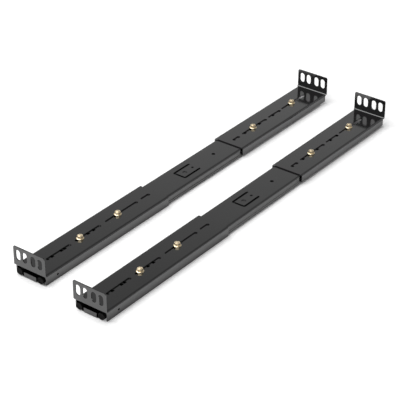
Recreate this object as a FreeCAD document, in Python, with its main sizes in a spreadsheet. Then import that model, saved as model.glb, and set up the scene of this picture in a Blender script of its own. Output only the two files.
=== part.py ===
"""Pair of sliding server rails, lying web up and side by side.

Each rail is a three-section ball-bearing slide between two rack brackets. The outer member is
clamped under the brackets by flange nuts, and the middle and inner members run out of it on
caged balls. One rail: X across it, Y along it from the front ear to the rear ear, Z up from the
mounting face of the inner member to the tops of the ears. Sizes are millimetres.
"""
import FreeCAD, Part
import math
import os

import Sketcher
from FreeCAD import Placement, Rotation, Vector

SIZES = [
    # name, value, what it is
    ("rail_pitch", 124.0, "between the centre lines of the two rails"),
    ("rail_stagger", 13.9, "how far the right rail lies ahead of the left one"),
    ("rear_reach", 50.5, "outside of the rear ear behind the slide's rear end, as set"),
    # brackets
    ("sheet", 1.6, "bracket sheet thickness"),
    ("bend_radius", 1.4, "inside radius of the bracket bends"),
    ("front_length", 277.2, "front bracket, ear included"),
    ("rear_length", 241.9, "rear bracket, ear included"),
    ("ear_overhang", 0.95, "ear beyond the bracket's sides"),
    ("ear_rise", 30.8, "ear above the top of the bracket web"),
    ("ear_corner", 2.5, "radius of the ear's free corners"),
    ("rack_slot_width", 8.8, "rack screw slot, across"),
    ("rack_slot_length", 17.2, "rack screw slot, end to end"),
    ("rack_slot_rise", 17.5, "slot centre above the bracket web"),
    ("rack_pitch_outer", 12.7, "between the two slots of one side"),
    ("rack_pitch_inner", 15.875, "between the two middle slots"),
    ("skirt_hole", 3.8, "tooling hole in the front bracket's skirts, diameter"),
    ("skirt_hole_back", 27.3, "tooling hole behind the ear"),
    ("skirt_hole_drop", 8.3, "tooling hole below the top of the web"),
    ("skirt_lift", 0.3, "skirt edges above the inner member's face"),
    ("side_gap", 0.25, "bracket skirt to outer member"),
    ("web_gap", 0.1, "bracket web to outer member"),
    # slots along the bracket webs: a clamping slot reaches ahead of its stud and behind it
    ("stud_play", 0.4, "stud to the sides of its slot"),
    ("first_ahead", 10.4, "front clamping slot ahead of its stud"),
    ("first_behind", 45.6, "front clamping slot behind its stud"),
    ("second_ahead", 28.0, "second clamping slot ahead of its stud"),
    ("rear_ahead", 28.2, "rearmost clamping slot ahead of its stud"),
    ("rear_behind", 37.8, "both rear clamping slots behind their studs"),
    ("slot_bridge", 8.5, "metal between a bracket's last slot and the clamping slot next to it"),
    ("lead_slot_back", 35.0, "front spare slot behind the ear"),
    ("lead_slot_length", 52.0, "front spare slot, end to end"),
    ("tail_slot_inset", 10.2, "front bracket's last slot from its free end"),
    ("tail_slot_length", 20.5, "front bracket's last slot, end to end"),
    ("rear_spare_back", 97.0, "rear spare slot from the rear ear"),
    ("rear_spare_length", 33.5, "rear spare slot, end to end"),
    ("rear_tail_inset", 11.9, "rear bracket's last slot from its free end"),
    ("rear_tail_length", 17.5, "rear bracket's last slot, end to end"),
    # slide section
    ("slide_width", 53.2, "across the outer member's races"),
    ("slide_depth", 14.0, "outer member's back to inner member's face"),
    ("outer_wall", 1.4, "outer member sheet thickness"),
    ("inner_wall", 1.2, "middle and inner member sheet thickness"),
    ("ball", 3.8, "ball diameter"),
    ("ball_gap", 0.25, "ball to race"),
    ("race_wrap", 38.0, "degrees that a race wraps each way round its ball"),
    ("race_land", 0.2, "straight between the two races of the middle member"),
    ("race_lip", 0.35, "straight beyond a race at its free edge"),
    ("inner_ball_height", 6.8, "inner ball centres above the inner member's face"),
    ("outer_corner", 3.0, "outside radius of the outer member's back corners"),
    ("member_corner", 2.0, "centre-line radius of the inner corners"),
    ("waist_radius", 1.8, "centre-line radius where a race leaves its wall"),
    ("waist_run", 0.02, "straight between a race and its waist bend"),
    ("cage_sheet", 0.5, "ball cage sheet thickness"),
    ("cage_gap", 0.3, "ball cage to the members above and below"),
    ("cage_bend", 0.6, "centre-line radius of the cage bends"),
    ("cage_length", 200.0, "ball cage length"),
    ("cage_start", 230.0, "ball cage behind the front ear, slide closed"),
    ("cage_fit", 0.1, "ball to its pocket in the cage"),
    ("cage_skirt", 1.4, "cage below the ball centres"),
    ("ball_pitch", 50.0, "between balls along a cage"),
    ("cage_window_width", 20.0, "windows in the cage's web, across"),
    ("cage_window_length", 22.0, "windows in the cage's web, along"),
    # slide lengths
    ("outer_front", 7.0, "front end of outer and middle members behind the ear"),
    ("slide_length", 653.7, "outer member, end to end"),
    ("member_inset", 6.7, "rear ends of middle and inner members ahead of the outer member's"),
    ("inner_front", 2.0, "front end of the inner member's section"),
    # outer member
    ("tongue_front", 341.0, "closed end of the lanced tongue"),
    ("tongue_length", 38.5, "tongue, from its free end to its root"),
    ("tongue_width", 21.8, "between the centre lines of the side cuts"),
    ("tongue_cut", 1.5, "width of the lancing cut"),
    ("tongue_corner", 2.5, "centre-line radius of the cut's corners"),
    ("tongue_hole", 2.8, "hole in the tongue, diameter"),
    ("tongue_hole_back", 32.8, "hole behind the tongue's free end"),
    ("dimple", 5.6, "pressed seat in the tongue, diameter"),
    ("dimple_depth", 0.7, "pressed seat in the tongue, depth"),
    ("dimple_back", 13.0, "pressed seat behind the tongue's free end"),
    ("access_hole", 5.2, "screw access holes in the outer member, diameter"),
    ("access_first", 37.5, "first access hole behind the ear"),
    ("access_second", 48.3, "second access hole behind the ear"),
    ("access_third", 68.0, "third access hole behind the ear"),
    ("access_fourth", 74.6, "fourth access hole behind the ear"),
    ("access_fifth", 126.0, "fifth access hole behind the ear"),
    ("access_sixth", 138.2, "sixth access hole behind the ear"),
    ("access_middle", 428.2, "access hole between the brackets, behind the ear"),
    ("access_eighth", 175.5, "eighth access hole ahead of the slide's rear end"),
    ("access_ninth", 145.2, "ninth access hole ahead of the slide's rear end"),
    ("access_tenth", 104.9, "tenth access hole ahead of the slide's rear end"),
    ("access_eleventh", 66.3, "eleventh access hole ahead of the slide's rear end"),
    ("access_last", 46.7, "last access hole ahead of the slide's rear end"),
    ("stud", 5.0, "clamping stud, diameter"),
    ("first_stud", 107.4, "first clamping stud behind the ear"),
    ("second_stud", 192.0, "second clamping stud behind the ear"),
    ("third_stud", 124.3, "third clamping stud ahead of the slide's rear end"),
    ("fourth_stud", 13.2, "fourth clamping stud ahead of the slide's rear end"),
    ("press_gap", 0.02, "radial gap at a screwed or pressed fit"),
    ("stud_end", 0.9, "stud above its nut"),
    # flange nuts
    ("nut_across_flats", 8.0, "flange nut hexagon"),
    ("nut_flange", 11.8, "flange diameter"),
    ("nut_flange_height", 1.3, "flange thickness"),
    ("nut_height", 4.9, "flange nut height"),
    ("nut_gap", 0.05, "nut to the bracket that slides under it"),
    # front end of the inner member
    ("tab_gap", 1.7, "pull tab to the bumpers on each side"),
    ("tab_rise", 8.3, "top of the tab above the inner member's face"),
    ("tab_bend", 0.2, "inside radius of the tab's bend"),
    ("tab_foot", 4.0, "tab's foot behind the front end of the section"),
    ("tab_front", 0.3, "front face of the tab and bumpers behind the ear's face"),
    ("bumper_depth", 6.2, "front bumpers, front to back"),
    ("bumper_inside", 13.2, "inside of a front bumper from the centre line"),
    ("bumper_low", 0.6, "bottom of a front bumper"),
    ("bumper_drop", 1.6, "top of a front bumper below the outer member's back"),
    ("bumper_round", 5.6, "corner radius of a front bumper"),
    ("bumper_seat", 0.1, "bottom of a bumper's slot ahead of the inner member"),
    ("bumper_fit", 0.02, "bumper to the inner member pressed into it"),
    ("chassis_hole", 4.8, "chassis screw holes in the inner member, diameter"),
    ("chassis_first", 60.0, "first chassis hole behind the front ear"),
    ("chassis_last", 84.0, "last chassis hole ahead of the inner member's rear end"),
    ("chassis_pitch", 170.0, "between the two chassis holes of a pair"),
    # rear bumper
    ("rear_bumper_depth", 6.0, "rear bumper, front to back"),
    ("rear_bumper_gap", 0.3, "member ends to the rear bumper"),
    ("rear_bumper_fit", 0.1, "rear bumper to the section that holds it"),
    # extension lock
    ("travel", 330.0, "travel of each moving member"),
    ("pivot_inset", 14.0, "rocker pin ahead of the inner member's rear end"),
    ("pivot_height", 4.6, "rocker pin above the inner member's face"),
    ("pivot_pin", 3.0, "rocker pin, diameter"),
    ("pivot_gap", 0.05, "radial running gap of the rocker"),
    ("rocker_width", 8.0, "rocker, across"),
    ("rocker_reach", 36.0, "pin to the front of the rocker's nose"),
    ("nose_length", 9.0, "nose that rises into the lock window"),
    ("nose_ramp", 2.0, "slope at each end of the nose"),
    ("window_play", 1.0, "rocker nose to the sides of the lock window"),
    ("rocker_drop", 0.7, "underside of the rocker's arm above the pin centre"),
    ("rocker_thickness", 2.3, "rocker's arm, thickness"),
    ("rocker_boss", 2.4, "radius of the rocker's boss"),
    ("lug_gap", 0.3, "rocker to its two lanced ears"),
    ("lug_length", 8.0, "lanced ears, along the rail"),
    ("lug_top", 2.2, "lanced ears above the pin centre"),
    ("spring_sheet", 0.4, "leaf spring thickness"),
    ("spring_width", 5.0, "leaf spring, across"),
    ("spring_foot", 9.0, "leaf spring's flat foot"),
    ("spring_rise", 8.0, "leaf spring's rise, along the rail"),
    ("spring_toe", 2.0, "leaf spring's turned-down toe, along the rail"),
    ("spring_bend", 1.0, "centre-line radius of the leaf spring's toe bend"),
    ("spring_gap", 0.05, "leaf spring to the web below and the nose above"),
]

BALLS_PER_SIDE = 4
ROUNDEST = 0.49  # largest corner radius of a bumper, as a share of its shorter side

# Round forms that repeat are run in flats, with their corners on the true circle.
END_FLATS = 5  # round each end of a slot
HOLE_FLATS = 4  # round each half of a small punched hole
CORNER_FLATS = 3  # round each corner of a front bumper
FLANGE_SIDES = 16  # of a nut's flange
STUD_SIDES = 16
BORE_SIDES = 12  # of a nut's bore, its flats clear of the stud's full circle

doc = FreeCAD.newDocument("server_rails")
sheet = doc.addObject("Spreadsheet::Sheet", "sizes")


def fill_sheet():
    """One row for each driving dimension: its name, its value and what it is."""
    for row, (name, value, note) in enumerate(SIZES, start=1):
        sheet.set(f"A{row}", name)
        sheet.set(f"B{row}", str(value))
        sheet.set(f"C{row}", note)
        sheet.setAlias(f"B{row}", name)
    doc.recompute()


def val(expression):
    """The number that an expression on the sheet's names stands for."""
    return float(sheet.evalExpression(str(expression)))


def named(name):
    """The value of one named size."""
    return val("sizes." + name)


# Derived places, written once as expressions. Lengths are measured behind the front ear.
BACK = "sizes.slide_depth"
WEB_LOW = "(sizes.slide_depth + sizes.web_gap)"
WEB_TOP = "(sizes.slide_depth + sizes.web_gap + sizes.sheet)"
SKIRT_START = "(sizes.sheet + sizes.bend_radius)"
OUTER_INSIDE = "(sizes.slide_depth - sizes.outer_wall)"
MIDDLE_TOP = "(sizes.slide_depth - sizes.outer_wall - 2 * sizes.cage_gap - sizes.cage_sheet)"
SLIDE_END = "(sizes.outer_front + sizes.slide_length)"
MEMBER_END = "(sizes.outer_front + sizes.slide_length - sizes.member_inset)"
SET_DEPTH = "(sizes.outer_front + sizes.slide_length + sizes.rear_reach)"
FIRST_BALL = f"(sizes.cage_start + (sizes.cage_length - {BALLS_PER_SIDE - 1} * sizes.ball_pitch) / 2)"
PIVOT = f"({MEMBER_END} - sizes.pivot_inset)"
NOSE_FRONT = f"({PIVOT} - sizes.rocker_reach)"
LUG_INSIDE = "(sizes.rocker_width / 2 + sizes.lug_gap)"
LUG_OUTSIDE = f"({LUG_INSIDE} + sizes.inner_wall)"
EAR_WIDTH = "(sizes.slide_width + 2 * (sizes.side_gap + sizes.sheet + sizes.ear_overhang))"
STUDS = ["sizes.first_stud", "sizes.second_stud",
         f"({SLIDE_END} - sizes.third_stud)", f"({SLIDE_END} - sizes.fourth_stud)"]

ACCESS = ["sizes.access_first", "sizes.access_second", "sizes.access_third", "sizes.access_fourth",
          "sizes.access_fifth", "sizes.access_sixth", "sizes.access_middle", f"({SLIDE_END} - sizes.access_eighth)",
          f"({SLIDE_END} - sizes.access_ninth)", f"({SLIDE_END} - sizes.access_tenth)",
          f"({SLIDE_END} - sizes.access_eleventh)", f"({SLIDE_END} - sizes.access_last)"]
CHASSIS = ["sizes.chassis_first", "(sizes.chassis_first + sizes.chassis_pitch)",
           f"({MEMBER_END} - sizes.chassis_last - sizes.chassis_pitch)",
           f"({MEMBER_END} - sizes.chassis_last)"]

# Slots along the bracket webs, each from one place to another behind its own ear.
FRONT_TAIL = "(sizes.front_length - sizes.tail_slot_inset - sizes.tail_slot_length)"
REAR_TAIL = "(sizes.rear_length - sizes.rear_tail_inset - sizes.rear_tail_length)"
FRONT_SLOTS = [
    ("sizes.lead_slot_back", "(sizes.lead_slot_back + sizes.lead_slot_length)"),
    (f"({STUDS[0]} - sizes.first_ahead)", f"({STUDS[0]} + sizes.first_behind)"),
    (f"({STUDS[1]} - sizes.second_ahead)", f"({FRONT_TAIL} - sizes.slot_bridge)"),
    (FRONT_TAIL, "(sizes.front_length - sizes.tail_slot_inset)"),
]
REAR_SLOTS = [
    (f"({SET_DEPTH} - {STUDS[3]} - sizes.rear_behind)", f"({SET_DEPTH} - {STUDS[3]} + sizes.rear_ahead)"),
    ("sizes.rear_spare_back", "(sizes.rear_spare_back + sizes.rear_spare_length)"),
    (f"({SET_DEPTH} - {STUDS[2]} - sizes.rear_behind)", f"({REAR_TAIL} - sizes.slot_bridge)"),
    (REAR_TAIL, "(sizes.rear_length - sizes.rear_tail_inset)"),
]


# Bodies, sketches and features

def new_body(name, rail):
    """A body of its own name, placed on its rail."""
    body = doc.addObject("PartDesign::Body", name)
    body.Label = name
    place(body, rail)
    return body


def place(thing, rail):
    """Put a piece on its rail: the rail's centre line and the face of its front ear."""
    side = -1 if rail == "left" else 1
    thing.setExpression("Placement.Base.x", f"{side} * sizes.rail_pitch / 2")
    thing.setExpression("Placement.Base.y", f"-{SET_DEPTH} / 2 - {side} * sizes.rail_stagger / 2")


def new_sketch(body, name, role, offset="0"):
    """A sketch on one of the body's own origin planes, moved along the plane's normal."""
    plane = [feature for feature in body.Origin.OriginFeatures if feature.Role == role][0]
    sketch = body.newObject("Sketcher::SketchObject", name)
    sketch.AttachmentSupport = [(plane, "")]
    sketch.MapMode = "FlatFace"
    sketch.setExpression("AttachmentOffset.Base.z", offset)
    return sketch


def bind(sketch, constraint, expression):
    """Add a constraint whose value follows the sheet."""
    number = sketch.addConstraint(constraint)
    sketch.setExpression(f"Constraints[{number}]", expression)


def fix_point(sketch, geometry, point, across, along):
    """Hold a point of the sketch at two expressions, measured from the origin."""
    bind(sketch, Sketcher.Constraint("DistanceX", -1, 1, geometry, point, val(across)), across)
    bind(sketch, Sketcher.Constraint("DistanceY", -1, 1, geometry, point, val(along)), along)


def add_circle(sketch, across, along, diameter):
    """A circle at two expressions."""
    centre = Vector(val(across), val(along), 0)
    radius = f"({diameter}) / 2"
    circle = sketch.addGeometry(Part.Circle(centre, Vector(0, 0, 1), val(radius)), False)
    bind(sketch, Sketcher.Constraint("Radius", circle, val(radius)), radius)
    fix_point(sketch, circle, 3, across, along)


def closed_run(points):
    """Straight edges from point to point and back to the first, leaving out any of no length."""
    pairs = zip(points, points[1:] + points[:1])
    return [Part.LineSegment(first, last) for first, last in pairs if first.distanceToPoint(last) > 1e-6]


def add_slot(sketch, across, start, end, width, flats=END_FLATS):
    """A slot along the sketch's second axis, its ends run in flats."""
    x, radius = val(across), val(width) / 2
    outline = []
    for centre, turn in ((val(end) - radius, 0), (val(start) + radius, math.pi)):
        for step in range(flats + 1):
            angle = turn + math.pi * step / flats
            outline.append(Vector(x + radius * math.cos(angle), centre + radius * math.sin(angle), 0))
    sketch.addGeometry(closed_run(outline), False)


def add_small_hole(sketch, across, along, diameter):
    """A punched hole that nothing fits in, run in flats all round."""
    half = f"({diameter}) / 2"
    add_slot(sketch, across, f"{along} - {half}", f"{along} + {half}", diameter, HOLE_FLATS)


def add_rectangle(sketch, left, right, low, high):
    """A rectangle between four expressions."""
    corners = [(left, low), (right, low), (right, high), (left, high)]
    points = [Vector(val(x), val(y), 0) for x, y in corners]
    lines = [Part.LineSegment(points[i], points[(i + 1) % 4]) for i in range(4)]
    first = sketch.addGeometry(lines, False)[0]
    for step in range(4):
        joint = (first + step, 2, first + (step + 1) % 4, 1)
        sketch.addConstraint(Sketcher.Constraint("Coincident", *joint))
    for step in (0, 2):
        sketch.addConstraint(Sketcher.Constraint("Horizontal", first + step))
        sketch.addConstraint(Sketcher.Constraint("Vertical", first + step + 1))
    fix_point(sketch, first, 1, left, low)
    fix_point(sketch, first + 1, 2, right, high)


def pad(body, sketch, length, reverse=False, midplane=False):
    """Raise a sketch by an expression."""
    feature = body.newObject("PartDesign::Pad", sketch.Name + "_pad")
    feature.Profile = sketch
    feature.setExpression("Length", length)
    feature.Reversed = reverse
    feature.Midplane = midplane
    body.Tip = feature
    return feature


def pocket(body, sketch, length, reverse=False, midplane=False):
    """Cut a sketch into the body by an expression."""
    feature = body.newObject("PartDesign::Pocket", sketch.Name + "_pocket")
    feature.Profile = sketch
    feature.setExpression("Length", length)
    feature.Reversed = reverse
    feature.Midplane = midplane
    body.Tip = feature
    return feature


# Sheet sections

def bent_strip(points, radii, thickness):
    """Outline of a sheet of even thickness along a bent centre line.

    points are the corners of the centre line and radii its bend radii at the inner corners.
    Every arc keeps its centre on both faces, as a rolled section does.
    """
    half = thickness / 2
    corners = [Vector(x, y, 0) for x, y in points]
    runs = [(corners[i + 1] - corners[i]).normalize() for i in range(len(corners) - 1)]
    pieces = []
    cursor = corners[0]
    for corner, radius, before, after in zip(corners[1:-1], radii, runs, runs[1:]):
        turn = before.x * after.y - before.y * after.x
        side = 1 if turn > 0 else -1
        tangent = radius * math.tan(before.getAngle(after) / 2)
        start = corner - before * tangent
        end = corner + after * tangent
        centre = start + Vector(-before.y, before.x, 0) * (radius * side)
        pieces.append(("line", cursor, start, before))
        pieces.append(("arc", start, end, centre, radius, side))
        cursor = end
    pieces.append(("line", cursor, corners[-1], runs[-1]))

    def face(sign):
        edges = []
        for piece in pieces:
            if piece[0] == "line":
                shift = Vector(-piece[3].y, piece[3].x, 0) * (half * sign)
                first, last = piece[1] + shift, piece[2] + shift
                if first.distanceToPoint(last) > 1e-6:
                    edges.append((first, last, None))
            else:
                start, end, centre, radius, side = piece[1:]
                scale = (radius - side * sign * half) / radius
                middle = ((start - centre) + (end - centre)).normalize() * (radius * scale)
                first = centre + (start - centre) * scale
                last = centre + (end - centre) * scale
                edges.append((first, last, centre + middle))
        return edges

    left, right = face(1), face(-1)
    outline = [edge(first, last, via) for first, last, via in left]
    outline.append(Part.LineSegment(left[-1][1], right[-1][1]))
    outline += [edge(last, first, via) for first, last, via in reversed(right)]
    outline.append(Part.LineSegment(right[0][0], left[0][0]))
    return outline


def edge(first, last, via):
    """A straight edge, or an arc where there is a point to pass through."""
    if via is None:
        return Part.LineSegment(first, last)
    return Part.Arc(first, via, last)


def both_sides(half_points, half_radii):
    """Mirror a half section that starts on the centre line."""
    mirrored = [(-x, y) for x, y in reversed(half_points[1:])]
    radii = list(reversed(half_radii)) + half_radii
    return mirrored + half_points[1:], radii


class Section:
    """The rolled sections of the slide, all worked out from the balls and the sheet."""

    def __init__(self):
        self.wrap = math.radians(named("race_wrap"))
        self.sine, self.cosine = math.sin(self.wrap), math.cos(self.wrap)
        self.race = named("ball") / 2 + named("ball_gap")
        self.outer_mid = self.race + named("outer_wall") / 2
        self.inner_mid = self.race + named("inner_wall") / 2
        self.outer_ball_x = named("slide_width") / 2 - named("outer_wall") - self.race
        step = 2 * self.inner_mid * math.tan(self.wrap) + named("race_land")
        self.inner_ball_z = named("inner_ball_height")
        self.outer_ball_z = self.inner_ball_z - step * self.cosine
        low_x = self.outer_ball_x - self.inner_mid / self.cosine
        high_x = low_x + step * self.sine
        self.low_bend = (low_x, self.outer_ball_z)
        self.high_bend = (high_x, self.inner_ball_z)
        self.inner_ball_x = high_x - self.inner_mid / self.cosine

    def waist(self, radius):
        """Length along a race's tangent line from its corner to where it meets its wall."""
        bend = named("waist_radius") * math.tan(self.wrap / 2)
        return radius * math.tan(self.wrap) + bend + named("waist_run")

    def lip(self, radius):
        """Length along a race's tangent line from its corner to the free edge."""
        return radius * math.tan(self.wrap) + named("race_lip")

    def outer(self):
        """Outer member: back, wall, waist, race round the outside of the outer balls, lip."""
        web = named("slide_depth") - named("outer_wall") / 2
        corner_x = self.outer_ball_x + self.outer_mid / self.cosine
        waist, lip = self.waist(self.outer_mid), self.lip(self.outer_mid)
        wall = corner_x - waist * self.sine
        race = (corner_x, self.outer_ball_z)
        waist_point = (wall, race[1] + waist * self.cosine)
        free = (race[0] - lip * self.sine, race[1] - lip * self.cosine)
        corner = named("outer_corner") - named("outer_wall") / 2
        radii = [corner, named("waist_radius"), self.outer_mid]
        path, bends = both_sides([(0, web), (wall, web), waist_point, race, free], radii)
        return bent_strip(path, bends, named("outer_wall"))

    def middle(self):
        """Middle member: web, a race for the inner balls, then one for the outer balls."""
        web = val(MIDDLE_TOP) - named("inner_wall") / 2
        high, low = self.high_bend, self.low_bend
        shoulder = (high[0] - (web - high[1]) * math.tan(self.wrap), web)
        lip = self.lip(self.inner_mid)
        free = (low[0] + lip * self.sine, low[1] - lip * self.cosine)
        radii = [named("member_corner"), self.inner_mid, self.inner_mid]
        path, bends = both_sides([(0, web), shoulder, high, low, free], radii)
        return bent_strip(path, bends, named("inner_wall"))

    def inner(self, extra=0.0):
        """Inner member: web at the bottom, walls up to a race on the inside of the inner balls."""
        web = named("inner_wall") / 2
        race = (self.inner_ball_x - self.inner_mid / self.cosine, self.inner_ball_z)
        waist, lip = self.waist(self.inner_mid), self.lip(self.inner_mid)
        wall = race[0] + waist * self.sine
        waist_point = (wall, race[1] - waist * self.cosine)
        free = (race[0] + lip * self.sine, race[1] + lip * self.cosine)
        radii = [named("member_corner"), named("waist_radius"), self.inner_mid]
        path, bends = both_sides([(0, web), (wall, web), waist_point, race, free], radii)
        return bent_strip(path, bends, named("inner_wall") + 2 * extra)

    def rear_stop(self):
        """Outline of the rear bumper: it fills the outer member and noses into its two races."""
        fit = named("rear_bumper_fit")
        top = val(OUTER_INSIDE)
        corner_x = self.outer_ball_x + self.outer_mid / self.cosine
        wall = corner_x - self.waist(self.outer_mid) * self.sine - named("outer_wall") / 2 - fit
        chamfer = named("outer_corner") - named("outer_wall")
        groove = self.race - fit
        rim_x, rim_z = self.outer_ball_x + groove * self.cosine, groove * self.sine
        waist_z = self.outer_ball_z + rim_z + (rim_x - wall) * self.cosine / self.sine
        half = [(wall - chamfer, top), (wall, top - chamfer), (wall, waist_z),
                (rim_x, self.outer_ball_z + rim_z), (self.outer_ball_x + groove, self.outer_ball_z),
                (rim_x, self.outer_ball_z - rim_z), (self.outer_ball_x, self.outer_ball_z - groove)]
        return closed_run([Vector(x, z, 0) for x, z in [(-x, z) for x, z in reversed(half)] + half])

    def cage(self, top, ball_x, ball_z):
        """Ball cage: a web under the member above it and two legs through the ball centres."""
        web = top - named("cage_gap") - named("cage_sheet") / 2
        low = ball_z - named("cage_skirt")
        path, bends = both_sides([(0, web), (ball_x, web), (ball_x, low)], [named("cage_bend")])
        return bent_strip(path, bends, named("cage_sheet"))


# Brackets

def bracket(name, rail, length, slots, rear=False):
    """Rack bracket: a channel over the slide, with its ear bent up and slots for the screws.

    It is drawn from its ear backwards. The rear one is drawn the same way and turned round.
    """
    body = new_body(name, rail)
    if rear:
        side = -1 if rail == "left" else 1
        body.setExpression("Placement.Base.y", f"{SET_DEPTH} / 2 - {side} * sizes.rail_stagger / 2")
        body.Placement.Rotation = Rotation(Vector(0, 0, 1), 180)
    wall = named("sheet")
    bend = named("bend_radius") + wall / 2
    web = val(WEB_LOW) + wall / 2
    side = named("slide_width") / 2 + named("side_gap") + wall / 2

    channel = new_sketch(body, name + "_channel", "XZ_Plane", f"-{SKIRT_START}")
    path, bends = both_sides([(0, web), (side, web), (side, named("skirt_lift"))], [bend])
    channel.addGeometry(bent_strip(path, bends, wall), False)
    pad(body, channel, f"{length} - {SKIRT_START}", reverse=True)

    ear = new_sketch(body, name + "_ear", "YZ_Plane")
    ear_top = val(WEB_TOP) + named("ear_rise")
    path = [(val(SKIRT_START), web), (wall / 2, web), (wall / 2, ear_top)]
    ear.addGeometry(bent_strip(path, [bend], wall), False)
    pad(body, ear, EAR_WIDTH, midplane=True)

    near, far = "(sizes.rack_pitch_inner / 2)", "(sizes.rack_pitch_inner / 2 + sizes.rack_pitch_outer)"
    for index, across in enumerate((f"-{far}", f"-{near}", near, far), start=1):
        rack = new_sketch(body, f"{name}_rack_slot_{index}", "XZ_Plane", "sizes.sheet")
        centre = f"{WEB_TOP} + sizes.rack_slot_rise"
        half = "sizes.rack_slot_length / 2"
        add_slot(rack, across, f"{centre} - {half}", f"{centre} + {half}", "sizes.rack_slot_width")
        pocket(body, rack, "4 * sizes.sheet", midplane=True)

    for index, (start, end) in enumerate(slots, start=1):
        clamp = new_sketch(body, f"{name}_web_slot_{index}", "XY_Plane", WEB_TOP)
        add_slot(clamp, "0", start, end, "sizes.stud + 2 * sizes.stud_play")
        pocket(body, clamp, "4 * sizes.sheet", midplane=True)

    if not rear:
        holes = new_sketch(body, name + "_skirt_holes", "YZ_Plane")
        drop = f"({WEB_TOP} - sizes.skirt_hole_drop)"
        add_small_hole(holes, "sizes.skirt_hole_back", drop, "sizes.skirt_hole")
        pocket(body, holes, f"2 * {EAR_WIDTH}", midplane=True)
    doc.recompute()

    base = body.Tip
    fillet = body.newObject("PartDesign::Fillet", name + "_corners")
    corners = [f"Edge{number}" for number, item in enumerate(base.Shape.Edges, start=1)
               if item.Length < 1.01 * wall and item.BoundBox.ZMin > ear_top - wall / 2]
    fillet.Base = (base, corners)
    fillet.setExpression("Radius", "sizes.ear_corner")
    body.Tip = fillet
    return body


# Slide members

def outer_member(name, rail, section):
    """Outer member: rolled channel with screw access holes and a lanced spring tongue."""
    body = new_body(name, rail)
    profile = new_sketch(body, name + "_section", "XZ_Plane", "-sizes.outer_front")
    profile.addGeometry(section.outer(), False)
    pad(body, profile, "sizes.slide_length", reverse=True)

    holes = new_sketch(body, name + "_access_holes", "XY_Plane", BACK)
    for along in ACCESS:
        add_small_hole(holes, "0", along, "sizes.access_hole")
    add_small_hole(holes, "0", "(sizes.tongue_front + sizes.tongue_hole_back)", "sizes.tongue_hole")
    pocket(body, holes, "4 * sizes.outer_wall", midplane=True)

    tongue = new_sketch(body, name + "_tongue", "XY_Plane", BACK)
    half, front = named("tongue_width") / 2, named("tongue_front")
    root = front + named("tongue_length")
    path = [(-half, root), (-half, front), (half, front), (half, root)]
    tongue.addGeometry(bent_strip(path, [named("tongue_corner")] * 2, named("tongue_cut")), False)
    pocket(body, tongue, "4 * sizes.outer_wall", midplane=True)

    dimple = new_sketch(body, name + "_dimple", "XY_Plane", BACK)
    add_circle(dimple, "0", "sizes.tongue_front + sizes.dimple_back", "sizes.dimple")
    pocket(body, dimple, "sizes.dimple_depth")
    return body


def middle_member(name, rail, section):
    """Middle member: rolled double-race section with the lock window."""
    body = new_body(name, rail)
    profile = new_sketch(body, name + "_section", "XZ_Plane", "-sizes.outer_front")
    profile.addGeometry(section.middle(), False)
    pad(body, profile, f"{MEMBER_END} - sizes.outer_front", reverse=True)

    window = new_sketch(body, name + "_lock_window", "XY_Plane", MIDDLE_TOP)
    front = f"({NOSE_FRONT} - sizes.travel - sizes.window_play)"
    rear = f"({NOSE_FRONT} - sizes.travel + sizes.nose_length + sizes.nose_ramp + sizes.window_play)"
    half = "(sizes.rocker_width / 2 + sizes.window_play)"
    add_rectangle(window, f"-{half}", half, front, rear)
    pocket(body, window, "4 * sizes.inner_wall", midplane=True)
    return body


def inner_member(name, rail, section):
    """Inner member: the section that carries the server, with its pull tab and rocker ears."""
    body = new_body(name, rail)
    profile = new_sketch(body, name + "_section", "XZ_Plane", "-sizes.inner_front")
    profile.addGeometry(section.inner(), False)
    pad(body, profile, f"{MEMBER_END} - sizes.inner_front", reverse=True)

    wall = named("inner_wall")
    tab = new_sketch(body, name + "_tab", "YZ_Plane")
    front = named("tab_front") + wall / 2
    foot = named("inner_front") + named("tab_foot")
    path = [(foot, wall / 2), (front, wall / 2), (front, named("tab_rise"))]
    tab.addGeometry(bent_strip(path, [named("tab_bend") + wall / 2], wall), False)
    pad(body, tab, "2 * (sizes.bumper_inside - sizes.tab_gap)", midplane=True)

    lugs = new_sketch(body, name + "_lugs", "XY_Plane")
    lug_front = f"{PIVOT} - sizes.lug_length / 2"
    lug_rear = f"{PIVOT} + sizes.lug_length / 2"
    add_rectangle(lugs, LUG_INSIDE, LUG_OUTSIDE, lug_front, lug_rear)
    add_rectangle(lugs, f"-{LUG_OUTSIDE}", f"-{LUG_INSIDE}", lug_front, lug_rear)
    pad(body, lugs, "sizes.pivot_height + sizes.lug_top")

    bores = new_sketch(body, name + "_pin_bore", "YZ_Plane")
    add_circle(bores, PIVOT, "sizes.pivot_height", "sizes.pivot_pin + 2 * sizes.press_gap")
    pocket(body, bores, f"4 * {LUG_OUTSIDE}", midplane=True)

    holes = new_sketch(body, name + "_web_holes", "XY_Plane")
    for along in CHASSIS:
        add_circle(holes, "0", along, "sizes.chassis_hole")
    add_rectangle(holes, f"-{LUG_INSIDE}", LUG_INSIDE, lug_front, lug_rear)
    pocket(body, holes, "4 * sizes.inner_wall", midplane=True)
    return body


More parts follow.
